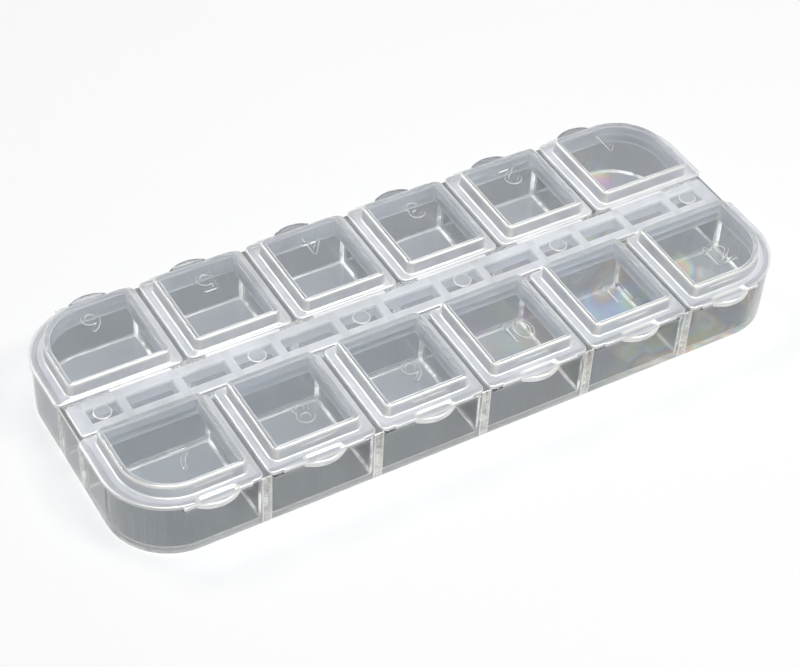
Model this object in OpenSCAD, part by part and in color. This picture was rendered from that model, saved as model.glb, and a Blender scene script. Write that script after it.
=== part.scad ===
// Individual lid bead organizer: a clear tray with two rows of six compartments,
// closed by one lid moulding. Its strip lies along the middle of the tray, and each
// of its twelve lids hangs on that strip by a thin web that bends as a living hinge.
// Millimetres, +Z up, X along the tray. The origin is the middle of the underside.

/* [Grid] */
// Distance between the middles of neighbouring compartments
pitch = 20.6; // [19:0.1:23]
// Compartments in one row
columns = 6; // [6:6]

/* [Tray] */
// Length of the tray over its end walls
tray_length = 128.9; // [120:0.1:140]
// Depth of the tray over its two long walls
tray_depth = 49.6; // [44:0.1:56]
// Radius of the four upright corners of the tray
tray_corner_r = 11.4; // [8:0.1:14]
// Height of the rim that the lids rest on
rim_z = 11.0; // [9:0.1:14]
// Thickness of the outer wall
wall = 1.3; // [1:0.1:2]
// Thickness of the floor
floor_t = 1.0; // [0.8:0.1:1.6]
// Thickness of a divider between two compartments
divider_t = 1.4; // [1:0.1:2]
// Distance from the middle line to the inner face of a channel wall
channel_half = 3.4; // [3:0.1:4]
// Distance from the middle line to the compartment face of a channel wall
compartment_y = 5.0; // [4.6:0.1:5.6]
// Height of the channel walls, where the strip rests
ledge_z = 10.6; // [9:0.1:12]
// Radius of the upright corners inside a compartment
pocket_r = 0.8; // [0.4:0.1:2]
// Chamfer round the foot of the tray
foot_chamfer = 0.5; // [0.2:0.1:1]
// Length of the bead under each lid, along the outer wall
bead_length = 18.2; // [12:0.1:19]
// Height of that bead
bead_h = 0.7; // [0.4:0.1:1]
// How far the bead stands out of the outer wall
bead_out = 0.35; // [0.1:0.05:0.5]

/* [Lids] */
// Half of the gap between two neighbouring lids
half_gap = 0.4; // [0.2:0.05:0.8]
// Distance from the middle line to the hinge edge of a lid
lid_hinge_y = 4.2; // [4:0.05:4.8]
// Distance from the middle line to the outer edge of a lid's corners
lid_outer_y = 25.0; // [24.8:0.05:26]
// Distance from the tray's middle to the outer edge of an end lid
lid_end_x = 64.9; // [64:0.1:66]
// Large corner radius of an end lid
lid_end_r = 11.9; // [8:0.1:14]
// Small corner radius of a lid
lid_r = 1.2; // [0.6:0.1:2]
// Thickness of the flange round a lid
flange_t = 0.7; // [0.5:0.1:1.2]
// Height of the top of the raised panel
panel_z = 14.15; // [13:0.05:16]
// Thickness of the raised panel
panel_t = 0.85; // [0.6:0.05:1.2]
// Thickness of the wall round the raised panel
lid_wall = 0.9; // [0.6:0.05:1.2]
// Height of the lower edge of that wall, inside the compartment
skirt_z = 9.4; // [8.5:0.1:10.5]
// Flange width beside the raised panel, towards a neighbouring lid
side_in = 1.8; // [1.2:0.05:3]
// Flange width at the end of the tray
end_in = 2.7; // [1.8:0.05:4]
// Flange width at the hinge
hinge_in = 1.0; // [0.9:0.05:2]
// Flange width at the finger tab
tab_in = 2.4; // [1.8:0.05:3]
// Radius of the upright corners of the raised panel
panel_r = 1.2; // [0.6:0.1:2]
// Rounding round the top of the raised panel
panel_edge = 0.5; // [0.1:0.05:0.8]
// Width of the raised band along the rim of the flange
band_w = 1.0; // [0.5:0.05:1.5]
// Width of that band at the hinge
hinge_band_w = 0.45; // [0.3:0.05:0.8]
// How much lower the flange lies between that band and the panel
band_step = 0.1; // [0.05:0.05:0.3]

/* [Finger tabs and latches] */
// Length of the lip along the outer edge of a lid
lip_length = 14.9; // [10:0.1:18]
// Length of the lip on an end lid
end_lip_length = 12.0; // [8:0.1:16]
// How far the lip stands out of the lid's outer edge
lip_out = 0.3; // [0.1:0.05:0.6]
// Distance from the tray's middle to the tab and web of an end lid
end_tab_x = 49.9; // [48:0.1:52]
// Width of a finger tab where it leaves the lip
tab_width = 7.7; // [6:0.1:10]
// How far a finger tab stands out of the lip
tab_out = 1.4; // [1:0.1:2.5]
// Height of the tab's drooping edge
tab_t = 1.2; // [0.7:0.1:1.5]
// Radius of the tab's rolled rim
tab_rim_r = 0.45; // [0.2:0.05:0.6]
// Length of the thumb dish in the tab and the flange behind it
dish_length = 7.6; // [5:0.1:9]
// Width of the thumb dish
dish_width = 2.3; // [1.5:0.1:2.6]
// Depth of the thumb dish
dish_depth = 0.35; // [0.1:0.05:0.45]
// Width of the latch pad behind a tab
latch_width = 6.5; // [4:0.1:9]
// Width of the latch's snap bead
snap_width = 3.7; // [2:0.1:6]
// Height of the snap bead
snap_h = 0.8; // [0.4:0.1:1.2]

/* [Strip and webs] */
// Length of the strip
strip_length = 127.4; // [120:0.1:129]
// Width of the strip
strip_width = 7.2; // [6:0.1:8]
// Height of the top of the strip
strip_z = 11.4; // [10:0.1:14]
// Depth of the rails and ribs under the strip
rail_depth = 2.2; // [1:0.1:3]
// Distance from the middle line to the inner face of a rail
rail_inner = 1.7; // [1:0.05:2.4]
// Distance from the middle line to the outer face of a rail
rail_outer = 3.3; // [3:0.05:3.35]
// Distance from the middle to the pocket's end under the strip
rib_end_x = 61.0; // [58:0.1:62]
// Thickness of a cross rib
rib_t = 1.5; // [0.8:0.1:2]
// Radius of the round pads on the strip
pad_r = 1.6; // [1:0.1:2]
// Height of the round pads
pad_h = 0.1; // [0.05:0.05:0.3]
// Width of the web of a middle lid
web_width = 14.0; // [8:0.1:18]
// Width of the web of an end lid
end_web_width = 11.2; // [8:0.1:18]
// Thickness of a web
web_t = 0.3; // [0.2:0.05:0.5]

/* [Show] */
// Which piece to show

/* [Hidden] */
half_l = tray_length / 2;
half_d = tray_depth / 2;
in_x = half_l - wall;
in_y = half_d - wall;
in_r = tray_corner_r - wall;
flange_z = rim_z + flange_t;
lip_y = lid_outer_y + lip_out;
tab_r = (pow(tab_width / 2, 2) + tab_out * tab_out) / (2 * tab_out);
dish_r = (pow(dish_width / 2, 2) + dish_depth * dish_depth) / (2 * dish_depth);
dish_y = lip_y - 0.4;
snap_z = skirt_z + 1.1;
axis_z = rim_z + 0.2;
rib_x = [5.7, 14.5, 26.0, 34.8, 44.4, 54.6];
pad_x = [10.15, 30.2, 58.5];
over = 1;
edge_steps = 3;
clear_play = 0.05;
clear_ps = [0.80, 0.82, 0.84, 0.45];
cloudy_pp = [0.90, 0.92, 0.94, 0.75];

// middle of column k, counted from the left
function column_x(k) = (k - (columns - 1) / 2) * pitch;
// -1 for the left end column, 1 for the right one, 0 between them
function end_of(k) = k == 0 ? -1 : (k == columns - 1 ? 1 : 0);
// the four corner radii of a shape in column k, of which an end column has one large
function radii(k, small, large) =
  [small, small, end_of(k) == 1 ? large : small, end_of(k) == -1 ? large : small];

// a quarter disc with its corner at (x, y), turned by a
module quarter(x, y, r, a) {
  translate([x, y]) rotate(a) intersection() {
    circle(r = r, $fn = r > 4 ? 72 : 24);
    square(r);
  }
}

// a rectangle with a radius for each corner, from low left round to high left
module rounded(x0, y0, x1, y1, r) {
  polygon([
    [x0, y0 + r[0]], [x0 + r[0], y0], [x1 - r[1], y0], [x1, y0 + r[1]],
    [x1, y1 - r[2]], [x1 - r[2], y1], [x0 + r[3], y1], [x0, y1 - r[3]]
  ]);
  quarter(x0 + r[0], y0 + r[0], r[0], 180);
  quarter(x1 - r[1], y0 + r[1], r[1], 270);
  quarter(x1 - r[2], y1 - r[2], r[2], 0);
  quarter(x0 + r[3], y1 - r[3], r[3], 90);
}

module slab(x0, y0, x1, y1, r, z0, z1) {
  translate([0, 0, z0]) linear_extrude(height = z1 - z0) rounded(x0, y0, x1, y1, r);
}

module tray_outline(inset) {
  big = tray_corner_r - inset;
  rounded(-half_l + inset, -half_d + inset, half_l - inset, half_d - inset,
          [big, big, big, big]);
}

// the hollow of one compartment of the back row
module pocket(k) {
  x0 = end_of(k) == -1 ? -in_x : column_x(k) - (pitch - divider_t) / 2;
  x1 = end_of(k) == 1 ? in_x : column_x(k) + (pitch - divider_t) / 2;
  slab(x0, compartment_y, x1, in_y, radii(k, pocket_r, in_r), floor_t, rim_z + over);
}

// the bead that the lip of one lid snaps past, on the outside of the long wall
module rim_bead(k) {
  half = end_of(k) == 0 ? bead_length / 2 : end_lip_length / 2;
  x = end_of(k) == 0 ? column_x(k) : end_of(k) * end_tab_x;
  z = rim_z - bead_h / 2;
  translate([x - half + bead_h / 2, half_d - 0.2, z - bead_h / 2])
    cube([2 * half - bead_h, bead_out + 0.2, bead_h]);
  for (s = [-1, 1])
    translate([x + s * (half - bead_h / 2), half_d - 0.2, z])
      rotate([-90, 0, 0]) cylinder(r = bead_h / 2, h = bead_out + 0.2, $fn = 24);
}

module tray() {
  color(clear_ps) difference() {
    union() {
      hull() {
        linear_extrude(height = 0.01) tray_outline(foot_chamfer);
        translate([0, 0, foot_chamfer]) linear_extrude(height = 0.01) tray_outline(0);
      }
      translate([0, 0, foot_chamfer]) linear_extrude(height = rim_z - foot_chamfer)
        tray_outline(0);
      for (k = [0:columns - 1]) {
        rim_bead(k);
        mirror([0, 1, 0]) rim_bead(k);
      }
    }
    for (k = [0:columns - 1]) {
      pocket(k);
      mirror([0, 1, 0]) pocket(k);
    }
    translate([-in_x, -channel_half, floor_t]) cube([2 * in_x, 2 * channel_half, rim_z]);
    translate([-strip_length / 2 - clear_play, -compartment_y - 0.01, ledge_z])
      cube([strip_length + 2 * clear_play, 2 * compartment_y + 0.02, over + rim_z - ledge_z]);
  }
}

module spine() {
  low = ledge_z - rail_depth;
  half = strip_length / 2;
  w = strip_width / 2;
  color(cloudy_pp) union() {
    slab(-half, -w, half, w, [0.4, 0.4, 0.4, 0.4], ledge_z, strip_z);
    for (s = [-1, 1])
      translate([-rib_end_x, s > 0 ? rail_inner : -rail_outer, low])
        cube([2 * rib_end_x, rail_outer - rail_inner, rail_depth + 0.1]);
    for (s = [-1, 1])
      translate([s > 0 ? rib_end_x - 0.1 : -rib_end_x - 1.4, -rail_outer, low])
        cube([1.5, 2 * rail_outer, rail_depth + 0.1]);
    for (s = [-1, 1], x = rib_x)
      translate([s * x - rib_t / 2, -rail_inner - 0.1, low])
        cube([rib_t, 2 * rail_inner + 0.2, rail_depth + 0.1]);
    for (s = [-1, 1], x = pad_x)
      translate([s * x, 0, strip_z - 0.1]) cylinder(r = pad_r, h = pad_h + 0.1, $fn = 32);
  }
}

// a half moon with a rolled rim that droops outside the tray's rim
module finger_tab(tx) {
  low = flange_z - tab_t;
  intersection() {
    translate([tx, lip_y + tab_out - tab_r, low]) rotate_extrude($fn = 96) {
      square([tab_r - tab_rim_r, tab_t]);
      translate([tab_r - tab_rim_r, tab_rim_r]) square([tab_rim_r, tab_t - 2 * tab_rim_r]);
      for (z = [tab_rim_r, tab_t - tab_rim_r])
        translate([tab_r - tab_rim_r, z]) circle(r = tab_rim_r, $fn = 24);
    }
    union() {
      translate([tx - tab_width, lid_outer_y - 0.2, rim_z]) cube([2 * tab_width, 4, flange_t]);
      translate([tx - tab_width, lip_y, low]) cube([2 * tab_width, 4, tab_t]);
    }
  }
}

// the hollow for the thumb: a cylinder with a sphere at each end, sunk into the tab
module thumb_dish(tx) {
  half = (dish_length - dish_width) / 2;
  translate([tx, dish_y, flange_z - dish_depth + dish_r]) {
    translate([-half, 0, 0]) rotate([0, 90, 0]) cylinder(r = dish_r, h = 2 * half, $fn = 48);
    for (s = [-1, 1]) translate([s * half, 0, 0]) sphere(r = dish_r, $fn = 48);
  }
}

// one lid of the back row: the front row has the same lids mirrored
module back_lid(k) {
  e = end_of(k);
  x0 = e == -1 ? -lid_end_x : column_x(k) - pitch / 2 + half_gap;
  x1 = e == 1 ? lid_end_x : column_x(k) + pitch / 2 - half_gap;
  px0 = x0 + (e == -1 ? end_in : side_in);
  px1 = x1 - (e == 1 ? end_in : side_in);
  py0 = lid_hinge_y + hinge_in;
  py1 = lip_y - tab_in;
  panel_big = lid_end_r - end_in;
  tx = e == 0 ? column_x(k) : e * end_tab_x;
  lip = (e == 0 ? lip_length : end_lip_length) / 2;
  color(cloudy_pp) difference() {
    union() {
      difference() {
        union() {
          // flange, lower between its outer band and the raised panel
          difference() {
            slab(x0, lid_hinge_y, x1, lid_outer_y, radii(k, lid_r, lid_end_r), rim_z, flange_z);
            slab(x0 + band_w, lid_hinge_y + hinge_band_w, x1 - band_w, lid_outer_y - band_w,
                 radii(k, lid_r - 0.9, lid_end_r - band_w), flange_z - band_step, flange_z + over);
          }
          translate([tx - lip, lid_outer_y - 0.5, rim_z])
            cube([2 * lip, 0.5 + lip_out, flange_t]);
          finger_tab(tx);
        }
        thumb_dish(tx);
      }
      // raised panel, round along its top, and the wall that hangs into the compartment
      hull() {
        slab(px0, py0, px1, py1, radii(k, panel_r, panel_big), skirt_z, panel_z - panel_edge);
        for (i = [1:edge_steps]) {
          a = 90 * i / edge_steps;
          in = panel_edge * (1 - cos(a));
          z = panel_z - panel_edge * (1 - sin(a));
          slab(px0 + in, py0 + in, px1 - in, py1 - in,
               radii(k, panel_r - in, panel_big - in), z - 0.01, z);
        }
      }
      // latch pad and snap bead on the wall behind the tab
      translate([tx - latch_width / 2, py1 - 0.2, skirt_z])
        cube([latch_width, 0.4, rim_z - skirt_z + 0.1]);
      translate([tx - snap_width / 2 + snap_h / 2, py1, snap_z - snap_h / 2])
        cube([snap_width - snap_h, 0.45, snap_h]);
      for (s = [-1, 1])
        translate([tx + s * (snap_width - snap_h) / 2, py1, snap_z])
          rotate([-90, 0, 0]) cylinder(r = snap_h / 2, h = 0.45, $fn = 24);
    }
    slab(px0 + lid_wall, py0 + lid_wall, px1 - lid_wall, py1 - lid_wall,
         radii(k, panel_r - lid_wall, panel_big - lid_wall),
         skirt_z - over, panel_z - panel_t);
  }
}

module back_web(k) {
  e = end_of(k);
  x = e == 0 ? column_x(k) : e * end_tab_x;
  w = e == 0 ? web_width : end_web_width;
  color(cloudy_pp) translate([x - w / 2, strip_width / 2, axis_z - web_t / 2])
    cube([w, lid_hinge_y - strip_width / 2, web_t]);
}

module lid_01() { back_lid(5); }
module lid_02() { back_lid(4); }
module lid_03() { back_lid(3); }
module lid_04() { back_lid(2); }
module lid_05() { back_lid(1); }
module lid_06() { back_lid(0); }
module lid_07() { mirror([0, 1, 0]) back_lid(0); }
module lid_08() { mirror([0, 1, 0]) back_lid(1); }
module lid_09() { mirror([0, 1, 0]) back_lid(2); }
module lid_10() { mirror([0, 1, 0]) back_lid(3); }
module lid_11() { mirror([0, 1, 0]) back_lid(4); }
module lid_12() { mirror([0, 1, 0]) back_lid(5); }

module hinge_web_01() { back_web(5); }
module hinge_web_02() { back_web(4); }
module hinge_web_03() { back_web(3); }
module hinge_web_04() { back_web(2); }
module hinge_web_05() { back_web(1); }
module hinge_web_06() { back_web(0); }
module hinge_web_07() { mirror([0, 1, 0]) back_web(0); }
module hinge_web_08() { mirror([0, 1, 0]) back_web(1); }
module hinge_web_09() { mirror([0, 1, 0]) back_web(2); }
module hinge_web_10() { mirror([0, 1, 0]) back_web(3); }
module hinge_web_11() { mirror([0, 1, 0]) back_web(4); }
module hinge_web_12() { mirror([0, 1, 0]) back_web(5); }

tray();
spine();
lid_01();
lid_02();
lid_03();
lid_04();
lid_05();
lid_06();
lid_07();
lid_08();
lid_09();
lid_10();
lid_11();
lid_12();
hinge_web_01();
hinge_web_02();
hinge_web_03();
hinge_web_04();
hinge_web_05();
hinge_web_06();
hinge_web_07();
hinge_web_08();
hinge_web_09();
hinge_web_10();
hinge_web_11();
hinge_web_12();
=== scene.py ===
"""The individual lid bead organizer: a clear tray, its lid moulding and the stage.

Written as an add-on and run as a script. Mesh functions work in millimetres and the
row frame: +X along the tray, +Y to the back, +Z up. Each piece hides the CAD node that it
stands for, and takes its place and outer size from it.
"""

import math

import bmesh
import bpy
from bpy.props import FloatProperty, FloatVectorProperty, PointerProperty
from mathutils import Matrix, Vector


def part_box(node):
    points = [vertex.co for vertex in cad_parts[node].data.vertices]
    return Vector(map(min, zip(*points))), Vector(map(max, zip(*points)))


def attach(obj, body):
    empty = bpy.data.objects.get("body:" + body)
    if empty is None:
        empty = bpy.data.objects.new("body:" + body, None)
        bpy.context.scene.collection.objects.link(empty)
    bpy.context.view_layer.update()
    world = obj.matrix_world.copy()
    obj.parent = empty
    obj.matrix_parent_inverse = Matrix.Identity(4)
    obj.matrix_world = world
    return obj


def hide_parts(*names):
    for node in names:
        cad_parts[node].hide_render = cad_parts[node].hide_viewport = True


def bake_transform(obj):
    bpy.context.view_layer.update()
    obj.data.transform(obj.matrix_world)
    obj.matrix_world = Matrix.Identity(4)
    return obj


bl_info = {
    "name": "Bead organizer with single lids",
    "version": (1, 0, 0),
    "blender": (4, 5, 0),
    "location": "3D View > Sidebar > Bead organizer",
    "description": "Builds a clear tray of twelve compartments with a lid on each",
    "category": "Object",
}

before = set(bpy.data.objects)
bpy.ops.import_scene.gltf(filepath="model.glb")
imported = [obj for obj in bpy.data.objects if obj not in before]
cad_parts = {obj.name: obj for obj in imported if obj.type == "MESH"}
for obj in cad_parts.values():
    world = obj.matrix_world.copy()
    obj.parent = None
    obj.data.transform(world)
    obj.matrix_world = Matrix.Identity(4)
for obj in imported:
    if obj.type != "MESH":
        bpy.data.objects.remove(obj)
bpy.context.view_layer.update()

MM = 0.001
LIDS = [f"{n:02d}" for n in range(1, 13)]
TRAY_BODY = "tray_body"
# between two compartments, and from the middle line to the middle of a channel wall
PITCH = 20.6
CHANNEL_WALL = 4.2
# over the tray's outer walls, without the rim beads
TRAY_DEPTH = 49.6
# beyond this distance from the middle line there are only finger tabs
TAB_ROOT = 25.35
# half the length of a rim bead, and half the width of a lid, in the middle columns
BEAD_HALF = 9.1
LID_HALF = 9.9


def box_mm(node):
    """Lowest and highest corner of a CAD node, in millimetres."""
    low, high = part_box(node)
    return low / MM, high / MM


TRAY_LOW, TRAY_HIGH = box_mm("tray")
STRIP_LOW, STRIP_HIGH = box_mm("spine")
LID_LOW, LID_HIGH = box_mm("lid_03")


# ---------------------------------------------------------------- settings


def size(name, description, default, low=0.0, high=200.0):
    """A length that the sidebar shows, given here in millimetres."""
    return FloatProperty(
        name=name,
        description=description,
        default=default * MM,
        min=low * MM,
        max=high * MM,
        unit="LENGTH",
        subtype="DISTANCE",
        precision=5,
    )


def share(name, description, default, high=1.0):
    """A plain number from 0 up."""
    return FloatProperty(
        name=name, description=description, default=default, min=0.0, max=high
    )


def linear(code):
    """An sRGB hex colour as linear RGB."""
    parts = [int(code[i : i + 2], 16) / 255 for i in (0, 2, 4)]
    return tuple(c / 12.92 if c <= 0.04045 else ((c + 0.055) / 1.055) ** 2.4 for c in parts)


def colour(name, description, code):
    """A colour swatch, given as sRGB hex."""
    return FloatVectorProperty(
        name=name,
        description=description,
        default=linear(code),
        min=0.0,
        max=1.0,
        size=3,
        subtype="COLOR",
    )


class TraySizes(bpy.types.PropertyGroup):
    """Sizes of the clear tray"""

    corner_r: size("Corner radius", "Radius of the four upright corners", 11.4)
    wall: size("Outer wall", "Thickness of the outer wall", 1.3)
    floor: size("Floor", "Thickness of the floor", 1.0)
    divider: size("Divider", "Thickness of a wall between two compartments", 1.4)
    channel: size("Channel", "Half the width of the channel under the strip", 3.4)
    compartment: size("Compartment start", "From the middle line to a compartment", 5.0)
    ledge: size("Ledge", "Height of the walls that carry the strip", 10.6)
    rim: size("Rim", "Height of the rim under the lids", TRAY_HIGH.z)
    pocket_r: size("Pocket corner", "Radius of a compartment's upright corners", 0.8)
    foot_r: size("Foot rounding", "Radius round the foot of the tray", 0.5)
    rim_r: size("Rim rounding", "Radius of the moulded top edges", 0.22)
    floor_r: size("Floor fillet", "Radius where a wall meets the floor inside", 0.45)


class LidSizes(bpy.types.PropertyGroup):
    """Sizes of a lid"""

    corner_r: size("Corner radius", "Small corner radius of a lid", 1.2)
    end_r: size("End corner radius", "Large corner radius of an end lid", 11.9)
    panel_r: size("Panel corner", "Radius of the upright corners of the panel", 1.2)
    hinge_y: size("Hinge edge", "From the middle line to the hinge edge", 4.2)
    outer_y: size("Outer edge", "From the middle line to the outer edge", 25.0)
    flange: size("Flange", "Thickness of the flange", 0.7)
    panel: size("Panel", "Thickness of the raised panel", 0.85)
    wall: size("Lid wall", "Thickness of the wall round the panel", 0.9)
    side_in: size("Side flange", "Flange width beside the panel", 1.8)
    end_in: size("End flange", "Flange width at the tray's end", 2.7)
    hinge_in: size("Hinge flange", "Flange width at the hinge", 1.0)
    tab_in: size("Tab flange", "Flange width on the tab side, lip included", 2.4)
    edge_r: size("Top edge", "Radius of the panel's moulded top edge", 0.5)
    lip: size("Lip", "Half the length of the lip", 7.45)
    end_lip: size("End lip", "Half the length of the lip on an end lid", 6.0)
    lip_out: size("Lip reach", "How far the lip stands out", 0.3)
    tab: size("Finger tab", "Width of the finger tab", 7.7)
    tab_out: size("Tab reach", "How far the tab stands out of the lip", 1.4)
    tab_t: size("Tab height", "Height of the tab's drooping edge", 1.2)
    tab_rim: size("Tab rim", "Radius of the tab's rolled rim", 0.45)
    dish_length: size("Dish length", "Length of the hollow for the thumb", 7.6)
    dish_width: size("Dish width", "Width of the hollow for the thumb", 2.3)
    dish_depth: size("Dish depth", "Depth of the hollow for the thumb", 0.35)
    end_tab_x: size("End tab place", "From the tray's middle to an end lid's tab", 49.9)


class StripSizes(bpy.types.PropertyGroup):
    """Sizes of the strip and its webs"""

    rail_out: size("Rail outside", "From the middle line to a rail's outer face", 3.3)
    rail_in: size("Rail inside", "From the middle line to a rail's inner face", 1.7)
    plate: size("Plate underside", "Height of the plate's underside", 10.6)
    rib: size("Rib", "Thickness of a cross rib", 1.5)
    rib_end: size("Last pocket", "From the middle to the end of the last pocket", 61.0)
    pad_r: size("Round pad", "Radius of the round pads", 1.6)
    web: size("Web", "Thickness of the living hinge", 0.3)


class Finishes(bpy.types.PropertyGroup):
    """Colours and haze of the two plastics"""

    styrene: colour("Clear polystyrene", "What one wall lets through", "A9ACAE")
    propylene: colour("Natural polypropylene", "What one wall lets through", "CDD1D6")
    milk: colour("Milk", "Colour of the haze in natural polypropylene", "F4F6FA")
    haze: share("Haze", "How milky the thickest parts of the lids look", 0.62)


class StageSettings(bpy.types.PropertyGroup):
    """Camera, floor and lamps"""

    azimuth: FloatProperty(
        name="Azimuth",
        description="Camera's turn round the tray",
        default=math.radians(-32.34),
        subtype="ANGLE",
        unit="ROTATION",
    )
    elevation: FloatProperty(
        name="Elevation",
        description="Camera's height above the horizon",
        default=math.radians(44.29),
        subtype="ANGLE",
        unit="ROTATION",
    )
    roll: FloatProperty(
        name="Roll",
        description="Camera's turn about its own line of sight",
        default=math.radians(3.41),
        subtype="ANGLE",
        unit="ROTATION",
    )
    distance: size("Distance", "From the camera to the tray", 376.98, 50, 5000)
    lens: FloatProperty(name="Lens", description="Focal length", default=95.75)
    lamp: share("Lamps", "Strength of the lamps", 1.0, 10.0)


class BeadOrganizerSettings(bpy.types.PropertyGroup):
    """All settings of the bead organizer"""

    tray: PointerProperty(type=TraySizes, name="Tray", description="Tray sizes")
    lid: PointerProperty(type=LidSizes, name="Lids", description="Lid sizes")
    strip: PointerProperty(type=StripSizes, name="Strip", description="Strip sizes")
    finish: PointerProperty(type=Finishes, name="Finishes", description="Plastics")
    stage: PointerProperty(type=StageSettings, name="Stage", description="Stage")


def millimetres(group, *names):
    """The values of some length settings, in millimetres."""
    return [getattr(group, name) / MM for name in names]


# ------------------------------------------------------------- mesh makers


def outline(low, high, radii, steps, inset=0.0):
    """Points of a rectangle with a radius for each corner, anticlockwise from low left.
    A positive inset moves the whole line inwards."""
    x0, y0, x1, y1 = low[0] + inset, low[1] + inset, high[0] - inset, high[1] - inset
    r = [max(radius - inset, 0.03) for radius in radii]
    centres = (
        (x0 + r[0], y0 + r[0]),
        (x1 - r[1], y0 + r[1]),
        (x1 - r[2], y1 - r[2]),
        (x0 + r[3], y1 - r[3]),
    )
    points = []
    for corner, (cx, cy) in enumerate(centres):
        for step in range(steps[corner] + 1):
            angle = math.pi * (1 + corner / 2 + step / steps[corner] / 2)
            points.append(
                (cx + r[corner] * math.cos(angle), cy + r[corner] * math.sin(angle))
            )
    return points


def quarter_turn(radius, steps=4):
    """Offsets (in, down) of a rounded edge, from the flat side over to the upright one."""
    turns = [math.pi / 2 * step / steps for step in range(steps + 1)]
    return [(radius * (1 - math.sin(t)), radius * (1 - math.cos(t))) for t in turns]


def skin(rings, closed=False):
    """A closed mesh between rings of equally many (x, y, z) points. The first and the
    last ring are capped, or joined to each other where closed is set."""
    made = bmesh.new()
    rows = [[made.verts.new(point) for point in ring] for ring in rings]
    pairs = list(zip(rows, rows[1:] + rows[:1])) if closed else list(zip(rows, rows[1:]))
    for below, above in pairs:
        count = len(below)
        for i in range(count):
            j = (i + 1) % count
            made.faces.new((below[i], below[j], above[j], above[i]))
    if not closed:
        made.faces.new(rows[0][::-1])
        made.faces.new(rows[-1])
    bmesh.ops.recalc_face_normals(made, faces=made.faces)
    return made


def rounded_block(low, high, radii, steps, top_r, foot_r):
    """A block on a rounded rectangle whose top and bottom edges are rounded too."""
    rings = []
    for inset, down in reversed(quarter_turn(foot_r)):
        rings.append([(x, y, low[2] + down) for x, y in outline(low, high, radii, steps, inset)])
    rings.reverse()
    for inset, down in reversed(quarter_turn(top_r)):
        rings.append([(x, y, high[2] - down) for x, y in outline(low, high, radii, steps, inset)])
    return skin(rings)


def piece(name, made):
    """A new object from a bmesh in millimetres."""
    mesh = bpy.data.meshes.new(name)
    made.to_mesh(mesh)
    made.free()
    thing = bpy.data.objects.new(name, mesh)
    bpy.context.scene.collection.objects.link(thing)
    return thing


def combine(target, tools, operation):
    """Joins the tools to the target, or cuts them out of it, and deletes them."""
    for tool in tools:
        step = target.modifiers.new("step", "BOOLEAN")
        step.operation, step.object, step.solver = operation, tool, "EXACT"
    bpy.context.view_layer.update()
    seen = target.evaluated_get(bpy.context.evaluated_depsgraph_get())
    mesh = bpy.data.meshes.new_from_object(seen)
    target.modifiers.clear()
    old, target.data = target.data, mesh
    bpy.data.meshes.remove(old)
    for tool in tools:
        bpy.data.objects.remove(tool)
    if not len(mesh.polygons):
        raise RuntimeError(f"{target.name} came out empty")
    return target


def finish_mesh(thing, angle=38.0):
    """Scales a piece made in millimetres, welds it and keeps only real edges sharp."""
    mark_edges(thing.data, "tray" in thing.name)
    made = bmesh.new()
    made.from_mesh(thing.data)
    bmesh.ops.remove_doubles(made, verts=made.verts, dist=0.0008)
    bmesh.ops.dissolve_degenerate(made, edges=made.edges, dist=0.0008)
    bmesh.ops.transform(made, matrix=Matrix.Scale(MM, 4), verts=made.verts)
    for face in made.faces:
        face.smooth = True
    made.to_mesh(thing.data)
    made.free()
    thing.data.set_sharp_from_angle(angle=math.radians(angle))
    even = thing.modifiers.new("even shading", "WEIGHTED_NORMAL")
    even.mode, even.weight, even.keep_sharp = "FACE_AREA", 60, True


# --------------------------------------------------------------- materials


def add(tree, kind, sources=None, **settings):
    """Adds a node with its settings. Each of its inputs gets a value, or an output to take
    its value from, or a node, which stands for its first output."""
    made = tree.nodes.new(kind)
    for name, value in settings.items():
        setattr(made, name, value)
    for socket, source in (sources or {}).items():
        if isinstance(source, bpy.types.Node):
            source = source.outputs[0]
        if isinstance(source, bpy.types.NodeSocket):
            tree.links.new(source, made.inputs[socket])
        else:
            made.inputs[socket].default_value = source
    return made


def new_material(name):
    """An empty material, its node tree and the place on the piece, in metres."""
    material = bpy.data.materials.new(name)
    material.use_nodes = True
    tree = material.node_tree
    tree.nodes.clear()
    return material, tree, add(tree, "ShaderNodeTexCoord").outputs["Object"]


def let_lamps_through(tree, body):
    """What a skin of clear moulding lets a lamp send through: more than it shows when it is
    looked through, as the light that it bends aside lands near by. Ends the material."""
    through = add(tree, "ShaderNodeBsdfTransparent", {"Color": (0.88, 0.885, 0.89, 1.0)})
    lamp_ray = add(tree, "ShaderNodeLightPath").outputs["Is Shadow Ray"]
    mix = add(tree, "ShaderNodeMixShader", {0: lamp_ray, 1: body, 2: through})
    add(tree, "ShaderNodeOutputMaterial", {"Surface": mix})


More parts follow.
